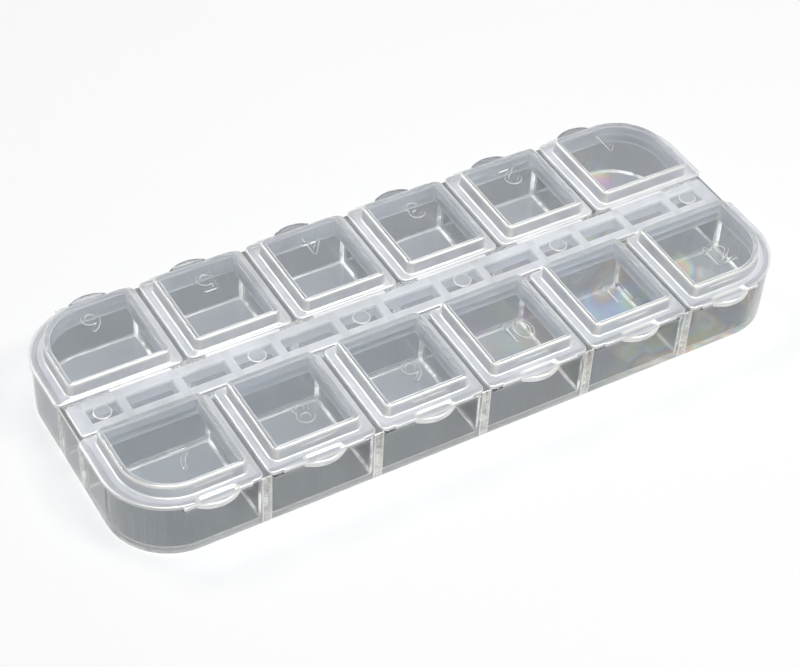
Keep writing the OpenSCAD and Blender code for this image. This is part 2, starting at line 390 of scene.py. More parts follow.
def bright_edges(tree, place, body, part):
    """Painted highlight, reflection and glow on moulded edges and inner corners: mixes a soft
    white into the shader body by the share part. Returns the mixed shader."""
    pale = (*linear("FCFAF4"), 1.0)
    # painted glow: the pale shader glows at the inner roundings, in bright beads and gaps
    # about 2 mm long, in place of light that travelled inside the walls
    beads = add(
        tree, "ShaderNodeTexNoise", {"Vector": place, "Scale": 1 / (2 * MM), "Detail": 2.0}
    )
    beads = add(
        tree,
        "ShaderNodeMapRange",
        {"Value": beads, "From Min": 0.42, "From Max": 0.6, "To Min": 0.15, "To Max": 1.6},
    )
    piped = add(tree, "ShaderNodeAttribute", attribute_name="piped").outputs["Fac"]
    piped = add(tree, "ShaderNodeMath", {0: piped, 1: beads}, operation="MULTIPLY")
    # painted reflection: a pale, slightly rough metal shader stands in for the room that the
    # rounding mirrors from inside
    painted_reflection = add(
        tree,
        "ShaderNodeBsdfPrincipled",
        {
            "Base Color": pale,
            "Metallic": 1.0,
            "Roughness": 0.22,
            "Emission Color": pale,
            "Emission Strength": piped,
        },
    )
    # painted highlight: a pale matt and translucent white, lit by the lamps
    matt = add(tree, "ShaderNodeBsdfPrincipled", {"Base Color": pale, "Roughness": 0.4})
    behind = add(tree, "ShaderNodeBsdfTranslucent", {"Color": pale})
    soft = add(tree, "ShaderNodeMixShader", {0: 0.35, 1: matt, 2: behind})
    soft = add(tree, "ShaderNodeMixShader", {0: 0.5, 1: soft, 2: painted_reflection})
    return add(tree, "ShaderNodeMixShader", {0: part, 1: body, 2: soft})


def edge_share(tree, much):
    """The share of painted highlight, a soft white, on the faces that are marked as edges."""
    edge = add(tree, "ShaderNodeAttribute", attribute_name="edge").outputs["Fac"]
    return add(tree, "ShaderNodeMath", {0: edge, 1: much}, operation="MULTIPLY")


def place_in_mm(tree, place):
    """X, and the distances from the middle planes along X and Y, and Z, in millimetres."""
    at = add(tree, "ShaderNodeVectorMath", {0: place, "Scale": 1 / MM}, operation="SCALE")
    at = add(tree, "ShaderNodeSeparateXYZ", {0: at}).outputs
    far = [add(tree, "ShaderNodeMath", {0: at[i]}, operation="ABSOLUTE") for i in (0, 1)]
    return at[0], *far, at[2]


def end_on_glow(tree, place):
    """The share of painted glow, a soft white, where the outer walls show dividers, channel
    walls and the floor end on, in uneven streaks, in place of light that travels inside them."""
    x, far_x, far_y, z = place_in_mm(tree, place)
    divider = add(tree, "ShaderNodeMath", {0: x, 1: PITCH / 2}, operation="PINGPONG")
    channel = add(tree, "ShaderNodeMath", {0: far_y, 1: CHANNEL_WALL}, operation="SUBTRACT")
    channel = add(tree, "ShaderNodeMath", {0: channel}, operation="ABSOLUTE")
    streaks = add(
        tree,
        "ShaderNodeTexNoise",
        {"Vector": place, "Scale": 1 / (1.6 * MM), "Detail": 1.5, "Distortion": 0.8},
    )
    # each ramp: its source, the two ends in millimetres, and what it gives there
    uneven, on_long, off_corner, on_end, glow = (
        add(
            tree,
            "ShaderNodeMapRange",
            {"Value": source, "From Min": a, "From Max": b, "To Min": low, "To Max": high},
        )
        for source, a, b, low, high in (
            (streaks, 0.35, 0.65, 0.12, 0.6),
            (far_y, 24.4, 24.7, 0.0, 1.0),
            (far_x, 50.0, 49.0, 0.0, 1.0),
            (far_x, 64.0, 64.3, 0.0, 1.0),
            (z, 1.2, 0.9, 0.0, 0.1),
        )
    )
    on_long = add(tree, "ShaderNodeMath", {0: on_long, 1: off_corner}, operation="MULTIPLY")
    for off, side in ((divider, on_long), (channel, on_end)):
        within, border, outside = (
            add(
                tree,
                "ShaderNodeMapRange",
                {"Value": off, "From Min": a, "From Max": b, "To Max": high},
            )
            for a, b, high in ((0.8, 0.7, 1.0), (0.58, 0.7, 0.8), (0.9, 0.78, 1.0))
        )
        within = add(tree, "ShaderNodeMath", {0: within, 1: uneven}, operation="MULTIPLY")
        border = add(tree, "ShaderNodeMath", {0: border, 1: outside}, operation="MULTIPLY")
        both = add(tree, "ShaderNodeMath", {0: within, 1: border}, operation="MAXIMUM")
        both = add(tree, "ShaderNodeMath", {0: both, 1: side}, operation="MULTIPLY")
        glow = add(tree, "ShaderNodeMath", {0: glow, 1: both}, operation="MAXIMUM")
    return glow


def flow_lines(tree, place):
    """A factor round 1: the melt leaves fine upright lines in the walls, 0.35 mm apart."""
    upright = (1 / (0.35 * MM), 1 / (0.35 * MM), 1 / (14 * MM))
    upright = add(tree, "ShaderNodeVectorMath", {0: place, 1: upright}, operation="MULTIPLY")
    lines = add(tree, "ShaderNodeTexNoise", {"Vector": upright, "Scale": 1.0, "Detail": 1.0})
    return add(
        tree,
        "ShaderNodeMapRange",
        {"Value": lines, "From Min": 0.3, "From Max": 0.7, "To Min": 0.9, "To Max": 1.1},
    )


def stress_colours(tree, place):
    """Faint rainbow patches where the moulding froze under stress, towards the end where
    the melt came in. Returns their colour and how strong they are."""
    order = add(
        tree,
        "ShaderNodeTexNoise",
        {"Vector": place, "Scale": 1 / (8 * MM), "Detail": 0.5, "Distortion": 0.3},
    )
    order = add(
        tree,
        "ShaderNodeMapRange",
        {"Value": order, "From Min": 0.3, "From Max": 0.7, "To Min": 0.0, "To Max": 9.0},
    )
    # red, green and blue run through their orders at different rates
    fringes = add(
        tree, "ShaderNodeVectorMath", {0: order, 1: (1.0, 1.22, 1.5)}, operation="MULTIPLY"
    )
    fringes = add(tree, "ShaderNodeVectorMath", {0: fringes}, operation="SINE")
    fringes = add(
        tree, "ShaderNodeVectorMath", {0: fringes, 1: (0.24, 0.24, 0.24)}, operation="MULTIPLY"
    )
    fringes = add(
        tree, "ShaderNodeVectorMath", {0: fringes, 1: (0.76, 0.74, 0.7)}, operation="ADD"
    )
    patches = add(
        tree, "ShaderNodeTexNoise", {"Vector": place, "Scale": 1 / (13 * MM), "Detail": 1.0}
    )
    x, _, far_y, z = place_in_mm(tree, place)
    # half as strong as the patches at most, less to the left, on the outer walls and high up
    strong = 0.5
    for source, a, b, low, high in (
        (patches, 0.47, 0.6, 0.0, 1.0),
        (x, 5.0, 45.0, 0.0, 1.0),
        (far_y, 23.0, 24.5, 1.0, 0.15),
        (z, 9.5, 8.5, 0.0, 1.0),
    ):
        ramp = add(
            tree,
            "ShaderNodeMapRange",
            {"Value": source, "From Min": a, "From Max": b, "To Min": low, "To Max": high},
        )
        strong = add(tree, "ShaderNodeMath", {0: strong, 1: ramp}, operation="MULTIPLY")
    return fringes, strong


def clear_polystyrene_moulded(finish):
    """Crystal polystyrene, injection moulded in a polished tool: glass-clear and hard,
    with sharp reflections, and a little grey where light passes several walls."""
    material, tree, place = new_material("clear_polystyrene_moulded")
    marks = {
        name: add(tree, "ShaderNodeAttribute", attribute_name=name).outputs["Fac"]
        for name in ("scuffed", "tone", "gap")
    }
    # flow waves of the melt, about 9 mm long, too faint to see except in reflections
    waves = add(
        tree, "ShaderNodeTexNoise", {"Vector": place, "Scale": 1 / (9 * MM), "Detail": 1.0}
    )
    bump = add(
        tree, "ShaderNodeBump", {"Height": waves, "Strength": 0.06, "Distance": 0.2 * MM}
    )
    # the underside is scuffed where the tray slides on a bench
    rough = add(
        tree, "ShaderNodeMapRange", {"Value": marks["scuffed"], "To Min": 0.015, "To Max": 0.45}
    )
    # painted light and shade on the walls, times the fine flow lines of the melt
    tone = {0: marks["tone"], 1: flow_lines(tree, place)}
    tone = add(tree, "ShaderNodeMath", tone, operation="MULTIPLY")
    wall = {0: tuple(finish.styrene), "Scale": tone}
    wall = add(tree, "ShaderNodeVectorMath", wall, operation="SCALE")
    glass = add(
        tree,
        "ShaderNodeBsdfPrincipled",
        {
            "Base Color": wall,
            "Roughness": rough,
            "IOR": 1.59,
            "Transmission Weight": 1.0,
            "Normal": bump,
        },
    )
    # painted highlight and painted glow: how much soft white the edges and the walls seen end on
    # get
    part = {0: edge_share(tree, 0.75), 1: end_on_glow(tree, place)}
    part = add(tree, "ShaderNodeMath", part, operation="MAXIMUM")
    body = bright_edges(tree, place, glass, part)
    stress, strong = stress_colours(tree, place)
    patch = add(tree, "ShaderNodeBsdfDiffuse", {"Color": stress})
    shine = add(tree, "ShaderNodeBsdfTranslucent", {"Color": stress})
    patch = add(tree, "ShaderNodeMixShader", {0: 0.5, 1: patch, 2: shine})
    body = add(tree, "ShaderNodeMixShader", {0: strong, 1: body, 2: patch})
    # painted shade: a dark grey on the tops of the walls that show in the narrow gaps between the
    # lids
    painted_gap_shade = add(tree, "ShaderNodeBsdfDiffuse", {"Color": (*linear("6E7176"), 1.0)})
    body = add(tree, "ShaderNodeMixShader", {0: marks["gap"], 1: body, 2: painted_gap_shade})
    let_lamps_through(tree, body)
    return material


def natural_polypropylene_moulded(finish, name="natural_polypropylene_moulded", extra=0.0):
    """Natural polypropylene, injection moulded: the thin panel is nearly clear and the
    thicker flanges, walls and ribs are milky, with a soft waxy gloss."""
    material, tree, place = new_material(name)
    thick, smoke = (
        add(tree, "ShaderNodeAttribute", attribute_name=name).outputs["Fac"]
        for name in ("thickness", "smoke")
    )
    # cloudiness that drifts over about 12 mm, as the melt cooled unevenly
    clouds = add(
        tree, "ShaderNodeTexNoise", {"Vector": place, "Scale": 1 / (12 * MM), "Detail": 3.0}
    )
    drift = add(
        tree,
        "ShaderNodeMapRange",
        {"Value": clouds, "From Min": 0.3, "From Max": 0.7, "To Min": 0.75, "To Max": 1.25},
    )
    milky = add(tree, "ShaderNodeMath", {0: thick, 1: finish.haze}, operation="MULTIPLY")
    milky = add(tree, "ShaderNodeMath", {0: milky, 1: drift}, operation="MULTIPLY")
    milky = add(tree, "ShaderNodeMath", {0: milky, 1: extra}, operation="ADD", use_clamp=True)
    # fine waviness of the skin, about 3 mm, that breaks up the reflections
    waves = add(
        tree, "ShaderNodeTexNoise", {"Vector": place, "Scale": 1 / (3 * MM), "Detail": 2.0}
    )
    bump = add(
        tree, "ShaderNodeBump", {"Height": waves, "Strength": 0.05, "Distance": 0.15 * MM}
    )
    # painted shade: the thick tabs of the back row let half as much through, and show darker than
    # the same tabs of the front row
    clear = add(tree, "ShaderNodeMapRange", {"Value": smoke, "To Min": 1.0, "To Max": 0.5})
    clear = {0: tuple(finish.propylene), "Scale": clear}
    clear = add(tree, "ShaderNodeVectorMath", clear, operation="SCALE")
    glass = add(
        tree,
        "ShaderNodeBsdfPrincipled",
        {
            "Base Color": clear,
            "Roughness": 0.03,
            "IOR": 1.49,
            "Transmission Weight": 1.0,
            "Normal": bump,
        },
    )
    milk = (*finish.milk, 1.0)
    front = add(
        tree,
        "ShaderNodeBsdfPrincipled",
        {"Base Color": milk, "Roughness": 0.3, "IOR": 1.49, "Normal": bump},
    )
    behind = add(tree, "ShaderNodeBsdfTranslucent", {"Color": milk})
    cloudy = add(tree, "ShaderNodeMixShader", {0: 0.25, 1: front, 2: behind})
    body = add(tree, "ShaderNodeMixShader", {0: milky, 1: glass, 2: cloudy})
    # painted highlight on the edges of the lids and the strip
    let_lamps_through(tree, bright_edges(tree, place, body, edge_share(tree, 0.6)))
    return material


# -------------------------------------------------------------------- tray


def compartment_bounds(column, tray):
    """Low and high x of the hollow in one of the six columns."""
    wall, divider = millimetres(tray, "wall", "divider")
    middle = (column - 2.5) * PITCH
    half = (PITCH - divider) / 2
    low = TRAY_LOW.x + wall if column == 0 else middle - half
    high = TRAY_HIGH.x - wall if column == 5 else middle + half
    return low, high


def pocket(column, side, tray):
    """The hollow of one compartment, with a fillet at its floor and a flared mouth."""
    corner_r, wall, floor, start, rim = millimetres(
        tray, "corner_r", "wall", "floor", "compartment", "rim"
    )
    pocket_r, rim_r, floor_r = millimetres(tray, "pocket_r", "rim_r", "floor_r")
    x0, x1 = compartment_bounds(column, tray)
    outer = TRAY_DEPTH / 2 - wall
    big = corner_r - wall
    radii = [pocket_r] * 4
    steps = [6] * 4
    if column == 0:
        radii[3], steps[3] = big, 24
    if column == 5:
        radii[2], steps[2] = big, 24
    low, high = (x0, start), (x1, outer)
    rings = []
    for inset, down in quarter_turn(floor_r):
        rings.append([(x, y, floor + down) for x, y in outline(low, high, radii, steps, inset)])
    for inset, down in quarter_turn(rim_r):
        rings.append([(x, y, rim - inset) for x, y in outline(low, high, radii, steps, -down)])
    rings.append([(x, y, rim + 1) for x, y in outline(low, high, radii, steps, -rim_r)])
    if side < 0:
        rings = [[(x, -y, z) for x, y, z in ring] for ring in rings]
    return piece("hollow", skin(rings))


def build_tray(settings):
    """The tray: a rounded block with its rim beads, less the hollows and the ledge."""
    tray, lid = settings.tray, settings.lid
    corner_r, wall, floor, channel, start = millimetres(
        tray, "corner_r", "wall", "floor", "channel", "compartment"
    )
    ledge, rim, foot_r, rim_r = millimetres(tray, "ledge", "rim", "foot_r", "rim_r")
    half_x, half_y = TRAY_HIGH.x, TRAY_DEPTH / 2
    body = piece(
        "tray_shell",
        rounded_block(
            (-half_x, -half_y, 0), (half_x, half_y, rim), [corner_r] * 4, [28] * 4, rim_r, foot_r
        ),
    )
    beads = []
    end_lip, end_tab_x = millimetres(lid, "end_lip", "end_tab_x")
    for column in range(6):
        middle, half = (column - 2.5) * PITCH, BEAD_HALF
        if column in (0, 5):
            middle, half = math.copysign(end_tab_x, middle), end_lip
        for side in (-1, 1):
            beads.append(rim_bead(middle, half, side, half_y, rim))
    combine(body, beads, "UNION")
    hollows = [pocket(column, side, tray) for column in range(6) for side in (-1, 1)]
    trough = rounded_block(
        (-half_x + wall, -channel, floor), (half_x - wall, channel, rim + 1),
        [0.4] * 4, [3] * 4, 0.05, 0.35,
    )
    hollows.append(piece("trough", trough))
    combine(body, hollows, "DIFFERENCE")
    notch = rounded_block(
        (STRIP_LOW.x - 0.05, -start - 0.25, ledge), (STRIP_HIGH.x + 0.05, start + 0.25, rim + 1),
        [0.1] * 4, [2] * 4, 0.05, 0.05,
    )
    combine(body, [piece("notch", notch)], "DIFFERENCE")
    mark(body.data, "scuffed", lambda at, normal: float(at.z < 0.1 and normal.z < -0.9))
    # painted glow at the roundings inside the compartments
    mark(body.data, "piped", piped_light)
    # painted light and shade on the tray's walls
    mark(body.data, "tone", wall_tone)
    # painted shade on the top faces of the walls under the lids, seen in the gaps between them
    mark(
        body.data,
        "gap",
        lambda at, normal: 0.7 * (at.z > rim - 0.1 and normal.z > 0.9 and abs(at.y) < 24),
    )
    finish_mesh(body)
    return body


def piped_light(at, normal):
    """How much painted glow a face gets: only at the roundings inside a compartment, and more
    where they face the left end, as the light comes from the right."""
    inside = abs(at.y) < TRAY_DEPTH / 2 - 0.3 and abs(at.x) < TRAY_HIGH.x - 0.3
    oblique = max(abs(n) for n in normal) < 0.985
    if not (inside and oblique and 1.0 < at.z < 9.5):
        return 0.0
    return 0.2 + 2.2 * max(0.0, -normal.x)


def wall_tone(at, normal):
    """A factor on what a face lets through, which paints light and shade on the walls: painted
    shade darkest on the back wall with its corners, a little on the other outer walls, and
    painted light on the walls beside the channel."""
    reach = 1.5
    corner = at.y > 14 and abs(at.x) > 55
    if at.y > TRAY_DEPTH / 2 - reach or corner:
        return 0.78
    if abs(at.x) > TRAY_HIGH.x - reach or at.y < reach - TRAY_DEPTH / 2:
        return 0.88
    return 1.3 if abs(at.y) < CHANNEL_WALL + 1 else 1.0


def rim_bead(middle, half, side, half_y, rim):
    """The round-ended bead under a lid that its lip snaps past."""
    r, out = 0.35, 0.35
    rings = []
    for inset, down in [(0.0, out + 0.3)] + quarter_turn(0.2)[::-1]:
        low, high = (middle - half, rim - 2 * r), (middle + half, rim)
        points = outline(low, high, [r] * 4, [6] * 4, inset)
        rings.append([(x, side * (half_y + out - down), z) for x, z in points])
    return piece("bead", skin(rings))


# -------------------------------------------------------------------- lids


def lid_rings(rect, wall_rect, radii, wall_radii, steps, lid):
    """Rings of a hat-shaped lid, from the middle of the panel over the top edge, down the
    wall, round the flange, down the skirt and up inside it to the panel's underside."""
    flange, panel, wall, edge_r = millimetres(lid, "flange", "panel", "wall", "edge_r")
    low_z, top_z = LID_LOW.z, LID_HIGH.z
    rim = TRAY_HIGH.z
    flange_z = rim + flange
    rings = []

    def on(base, base_radii, inset, z):
        rings.append(
            [(x, y, z) for x, y in outline(base[0], base[1], base_radii, steps, inset)]
        )

    on(wall_rect, wall_radii, edge_r + 0.35, top_z)
    for inset, down in quarter_turn(edge_r, 5):
        on(wall_rect, wall_radii, inset, top_z - down)
    on(wall_rect, wall_radii, -0.02, top_z - 0.8 * edge_r - 0.9)
    foot = 0.22
    for inset, down in quarter_turn(foot, 3):
        # the small fillet where the wall stands on the flange
        on(wall_rect, wall_radii, -0.06 - down, flange_z + inset)
    groove = ((rect[0][0] + 1.0, rect[0][1] + 0.45), (rect[1][0] - 1.0, rect[1][1] - 1.0))
    groove_r = [max(r - 1.0, 0.3) for r in radii]
    on(groove, groove_r, 0.12, flange_z - 0.1)
    on(groove, groove_r, 0.0, flange_z - 0.1)
    on(groove, groove_r, -0.1, flange_z)
    edge = 0.22
    for inset, down in quarter_turn(edge, 4):
        on(rect, radii, inset, flange_z - down)
    on(rect, radii, 0.0, rim + 0.1)
    on(rect, radii, 0.08, rim)
    on(wall_rect, wall_radii, -0.1, rim)
    on(wall_rect, wall_radii, 0.0, rim - 0.1)
    for inset, down in quarter_turn(0.2, 3)[::-1]:
        on(wall_rect, wall_radii, inset, low_z + down)
    for inset, down in quarter_turn(0.2, 3):
        on(wall_rect, wall_radii, wall - inset, low_z + down)
    for inset, down in quarter_turn(0.3, 3)[::-1]:
        on(wall_rect, wall_radii, wall + inset, top_z - panel - down)
    return rings


def lid_body(kind, settings):
    """A lid of the back row, about its own column's middle: kind is -1 for the left end
    of the tray, 1 for the right end and 0 between them."""
    lid = settings.lid
    corner_r, end_r, panel_r, hinge_y, outer_y = millimetres(
        lid, "corner_r", "end_r", "panel_r", "hinge_y", "outer_y"
    )
    side_in, end_in, hinge_in, tab_in, lip_out = millimetres(
        lid, "side_in", "end_in", "hinge_in", "tab_in", "lip_out"
    )
    x0, x1 = {-1: lid_span("lid_06"), 0: (-LID_HALF, LID_HALF), 1: lid_span("lid_01")}[kind]
    rect = ((x0, hinge_y), (x1, outer_y))
    wall_rect = (
        (x0 + (end_in if kind < 0 else side_in), hinge_y + hinge_in),
        (x1 - (end_in if kind > 0 else side_in), outer_y + lip_out - tab_in),
    )
    radii, wall_radii, steps = [corner_r] * 4, [panel_r] * 4, [8] * 4
    if kind:
        far = 2 if kind > 0 else 3
        radii[far], wall_radii[far], steps[far] = end_r, end_r - end_in, 32
    body = piece("lid", skin(lid_rings(rect, wall_rect, radii, wall_radii, steps, lid)))
    added, cut = tab_side(kind, wall_rect[1][1], lid)
    combine(body, added, "UNION")
    return combine(body, cut, "DIFFERENCE")


def lid_span(node):
    """Low and high x of a lid."""
    low, high = box_mm(node)
    return low.x, high.x


def tab_side(kind, wall_y, lid):
    """The lip, the finger tab, and the latch pad with its snap bead, as tools."""
    outer_y, flange, lip_out, tab, tab_out, end_tab_x = millimetres(
        lid, "outer_y", "flange", "lip_out", "tab", "tab_out", "end_tab_x"
    )
    tab_t, tab_rim, dish_length, dish_width, dish_depth = millimetres(
        lid, "tab_t", "tab_rim", "dish_length", "dish_width", "dish_depth"
    )
    half = millimetres(lid, "end_lip" if kind else "lip")[0]
    middle = kind * end_tab_x
    rim = TRAY_HIGH.z
    top = rim + flange
    lip = rounded_block(
        (middle - half, outer_y - 0.6, rim + 0.01),
        (middle + half, outer_y + lip_out, top - 0.02),
        [0.1, 0.1, 0.1, 0.1], [3] * 4, 0.2, 0.08,
    )
    lip_y = outer_y + lip_out
    arc_r = ((tab / 2) ** 2 + tab_out**2) / (2 * tab_out)
    rings = []

    def half_moon(inset, z, root=lip_y + 0.02):
        r = arc_r - inset
        centre = lip_y + tab_out - arc_r
        reach = math.acos(min(1.0, (root - centre) / r))
        count = 33
        turns = [reach * (1 - 2 * i / (count - 1)) for i in range(count)]
        rings.append([(middle + r * math.sin(t), centre + r * math.cos(t), z) for t in turns])

    low = top - tab_t
    for inset, down in quarter_turn(tab_rim):
        half_moon(inset, low + down)
    half_moon(0.0, rim + 0.02)
    half_moon(0.0, rim + 0.03, lip_y - 0.8)
    for inset, down in quarter_turn(tab_rim, 6)[::-1]:
        half_moon(inset, top - down - 0.005, lip_y - 0.8)
    moon = skin(rings)
    width = 3.25
    pad = rounded_block(
        (middle - width, wall_y - 0.3, LID_LOW.z + 0.02),
        (middle + width, wall_y + 0.2, rim + 0.15),
        [0.1] * 4, [2] * 4, 0.05, 0.15,
    )
    r, snap_z = 0.4, LID_LOW.z + 1.1
    snap = []
    for inset, out in ((0.0, -0.2), (0.0, 0.25), (0.12, 0.4), (0.25, 0.45)):
        low_end, high_end = (middle - 1.85, snap_z - r), (middle + 1.85, snap_z + r)
        points = outline(low_end, high_end, [r] * 4, [6] * 4, inset)
        snap.append([(x, wall_y + out, z) for x, z in points])
    # the hollow for the thumb, and a shallow insert mark inside the wall behind the latch
    dish_r = (dish_width**2 / 4 + dish_depth**2) / (2 * dish_depth)
    dish = capsule(
        middle, lip_y - 0.4, top - dish_depth + dish_r, (dish_length - dish_width) / 2, dish_r
    )
    insert = []
    wall = lid.wall / MM
    for inset, y in ((0.15, wall_y - wall + 0.08), (0.0, wall_y - wall - 0.07)):
        low_end, high_end = (middle - width, LID_LOW.z + 0.15), (middle + width, 12.6)
        points = outline(low_end, high_end, [0.4] * 4, [4] * 4, inset)
        insert.append([(x, y, z) for x, z in points])
    added = [piece("lip", lip), piece("moon", moon), piece("pad", pad), piece("snap", skin(snap))]
    return added, [piece("dish", dish), piece("insert", skin(insert))]


def capsule(x, y, z, half, radius):
    """A cylinder along X with a half sphere at each end."""
    rings = []
    turns = [math.radians(2 + 88 * step / 12) for step in range(13)]
    for side, order in ((-1, turns), (1, turns[::-1])):
        for turn in order:
            at = x + side * (half + radius * math.cos(turn))
            r = radius * math.sin(turn)
            ring = [math.tau * i / 64 for i in range(64)]
            rings.append([(at, y + r * math.cos(t), z + r * math.sin(t)) for t in ring])
    return skin(rings)


def arc(cx, cy, rx, ry, start, end, count=14):
    """Points on an ellipse between two angles in degrees."""
    return [
        (
            cx + rx * math.cos(math.radians(start + (end - start) * i / count)),
            cy + ry * math.sin(math.radians(start + (end - start) * i / count)),
        )
        for i in range(count + 1)
    ]


# Centre lines of plain single-stroke digits, about 5 mm tall with their stroke. Each line
# is smooth, a sharp bend is two lines that meet, and one that ends where it starts closes.
DIGITS = {
    "0": [arc(0, 0, 1.35, 2.05, 90, 450, 32)],
    "1": [[(-0.75, 1.15), (0.0, 2.05)], [(0.0, 2.05), (0.0, -2.05)]],
    "2": [arc(0, 0.85, 1.2, 1.2, 165, -35, 16) + [(-1.25, -2.05)], [(-1.25, -2.05), (1.3, -2.05)]],
    "3": [arc(-0.1, 1.0, 1.1, 1.05, 150, -85, 16), arc(-0.1, -0.95, 1.2, 1.1, 85, -150, 16)],
    "4": [
        [(0.6, -2.05), (0.6, 2.05)],
        [(0.6, 2.05), (-1.4, -0.75)],
        [(-1.4, -0.75), (1.45, -0.75)],
    ],
    "5": [
        [(1.1, 2.05), (-0.75, 2.05)],
        [(-0.75, 2.05), (-0.95, 0.35)],
        [(-0.95, 0.35)] + arc(0.0, -0.7, 1.3, 1.35, 118, -150, 18),
    ],
    "6": [arc(0, -0.8, 1.2, 1.25, 0, 360, 26), arc(1.9, -0.6, 3.1, 3.0, 178, 118, 12)],
    "7": [[(-1.2, 2.05), (1.2, 2.05)], arc(3.9, -2.3, 4.3, 4.2, 130, 178, 10)],
    "8": [arc(0, 1.0, 1.05, 1.0, 0, 360, 26), arc(0, -1.0, 1.2, 1.1, 0, 360, 26)],
    "9": [arc(0, 0.8, 1.2, 1.25, 0, 360, 26), arc(-1.9, 0.6, 3.1, 3.0, -2, -62, 12)],
}
STROKE = 0.8
RIDGE = 0.2


def stroke(points, top):
    """A raised ridge with a flat top and rounded ends along a line in the plane z = top."""
    closed = (Vector(points[0]) - Vector(points[-1])).length < 1e-4
    half = STROKE / 2
    section = [
        (-half, -0.12), (-half, 0.04), (-half + 0.05, 0.13), (-half + 0.14, RIDGE),
        (half - 0.14, RIDGE), (half - 0.05, 0.13), (half, 0.04), (half, -0.12),
    ]
    line = [Vector(p) for p in (points[:-1] if closed else points)]
    count = len(line)
    rings = []

    def ring(at, normal, narrow, height=1.0):
        rings.append(
            [
                (
                    at.x + normal.x * across * narrow,
                    at.y + normal.y * across * narrow,
                    top + (up * height if up > 0 else up),
                )
                for across, up in section
            ]
        )

    for i, at in enumerate(line):
        before = line[i - 1] if closed or i else line[i]
        after = line[(i + 1) % count] if closed or i + 1 < count else line[i]
        tangent = (after - before).normalized()
        normal = Vector((-tangent.y, tangent.x))
        if not closed and i == 0:
            for t in (1.0, 0.8, 0.45):
                ring(at - tangent * half * t, normal, math.sqrt(max(1 - t * t, 0.02)))
        ring(at, normal, 1.0)
        if not closed and i == count - 1:
            for t in (0.45, 0.8, 1.0):
                ring(at + tangent * half * t, normal, math.sqrt(max(1 - t * t, 0.02)))
    return piece("stroke", skin(rings, closed))


def numeral(text, cx, cy, turned, top):
    """The strokes of a lid's number, as tools that stand on the panel."""
    sign = -1 if turned else 1
    wide = 2.9 if len(text) > 1 and "1" not in text else 2.35
    strokes = []
    for i, digit in enumerate(text):
        shift = (i - (len(text) - 1) / 2) * wide
        for line in DIGITS[digit]:
            placed = [(cx + sign * (x + shift), cy + sign * y) for x, y in line]
            strokes.append(stroke(placed, top))
    return strokes


# where the middle of each number sits on its lid, in millimetres
NUMBER_X = {1: 51.6, 6: -52.4, 7: -52.6, 12: 52.1}
NUMBER_Y = 17.5


def build_lids(settings):
    """The twelve lids: three shapes, put in their places and mirrored for the front row, and
    then given their numbers."""
    bodies = {kind: lid_body(kind, settings) for kind in (-1, 0, 1)}
    made = []
    for label in LIDS:
        number = int(label)
        node = f"lid_{label}"
        back = number <= 6
        column = 6 - number if back else number - 7
        kind = {0: -1, 5: 1}.get(column, 0)
        middle = (column - 2.5) * PITCH
        mesh = bmesh.new()
        mesh.from_mesh(bodies[kind].data)
        shift = Matrix.Translation((0 if kind else middle, 0, 0))
        flip = Matrix.Identity(4) if back else Matrix.Scale(-1, 4, (0, 1, 0))
        bmesh.ops.transform(mesh, matrix=flip @ shift, verts=mesh.verts)
        if not back:
            bmesh.ops.reverse_faces(mesh, faces=mesh.faces)
        thing = piece(f"moulded_{node}", mesh)
        cx = NUMBER_X.get(number, middle)
        cy = NUMBER_Y if back else -NUMBER_Y
        combine(thing, numeral(str(number), cx, cy, back, LID_HIGH.z), "UNION")
        # milkiness, with painted light on the inner wall faces and front tabs, and painted shade
        # on the back tabs
        mark(thing.data, "thickness", lid_thickness)
        # painted shade on the tabs of the back row
        mark(thing.data, "smoke", lambda at, normal: float(at.y > TAB_ROOT))
        finish_mesh(thing)
        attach(thing, node)
        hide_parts(node)
        made.append(thing)
    for body in bodies.values():
        bpy.data.objects.remove(body)
    return made


def lid_thickness(at, normal):
    """How milky a face of a lid looks: little on the panel and more where it is thicker. Painted
    light: more milk on the inner faces of the wall and on the tabs of the front row; painted
    shade: little milk on the tabs of the back row."""
    # painted shade: the tabs of the back row get little milk
    if at.y > TAB_ROOT:
        return 0.12
    # painted light: the same tabs in the front row get more milk
    if at.y < -TAB_ROOT:
        return 0.5
    if at.z > LID_HIGH.z - 1.05 and abs(normal.z) > 0.5:
        return 0.08
    if TRAY_HIGH.z - 0.1 <= at.z <= TRAY_HIGH.z + 0.9:
        return 0.7
    # what is left is the wall: its faces look towards the lid's middle or away from it
    column = min(2.5, max(-2.5, math.floor(at.x / PITCH) + 0.5))
    middle_y = math.copysign(14, at.y)
    away = (at.x - column * PITCH) * normal.x + (at.y - middle_y) * normal.y
    # painted light: the wall's faces that look towards the lid's middle get more milk, and show
    # lighter
    return 1.05 if away < 0 else 0.68


def mark(mesh, name, rule):
    """Stores the rule's value for each face, which it works out from the face's middle in
    millimetres and its normal, as an attribute that the material reads."""
    mesh.update()
    values = [rule(face.center, face.normal) for face in mesh.polygons]
    layer = mesh.attributes.new(name, "FLOAT", "FACE")
    layer.data.foreach_set("value", values)


def mark_edges(mesh, is_tray):
    """Marks the narrow oblique faces, which are the roundings of edges and inner corners, where
    the materials paint a highlight.
    """
    mesh.update()
    place = [vertex.co for vertex in mesh.vertices]
    values = []
    for face in mesh.polygons:
        longest = max((place[a] - place[b]).length for a, b in face.edge_keys)
        oblique = max(abs(n) for n in face.normal) < 0.985
        # no painted highlight along the tops of the dividers, which lie in the gaps between the
        # lids where shade is painted, and none on the tabs of the back row, which carry painted
        # shade
        hidden = is_tray and face.center.z > 10.5 and abs(face.center.x) < 60
        hidden = hidden or face.center.y > TAB_ROOT
        values.append(float(oblique and face.area < 0.33 * longest and not hidden))
    layer = mesh.attributes.new("edge", "FLOAT", "FACE")
    layer.data.foreach_set("value", values)


# ---------------------------------------------------------- strip and webs

RIBS = [5.7, 14.5, 26.0, 34.8, 44.4, 54.6]
PADS = [10.15, 30.2, 58.5]


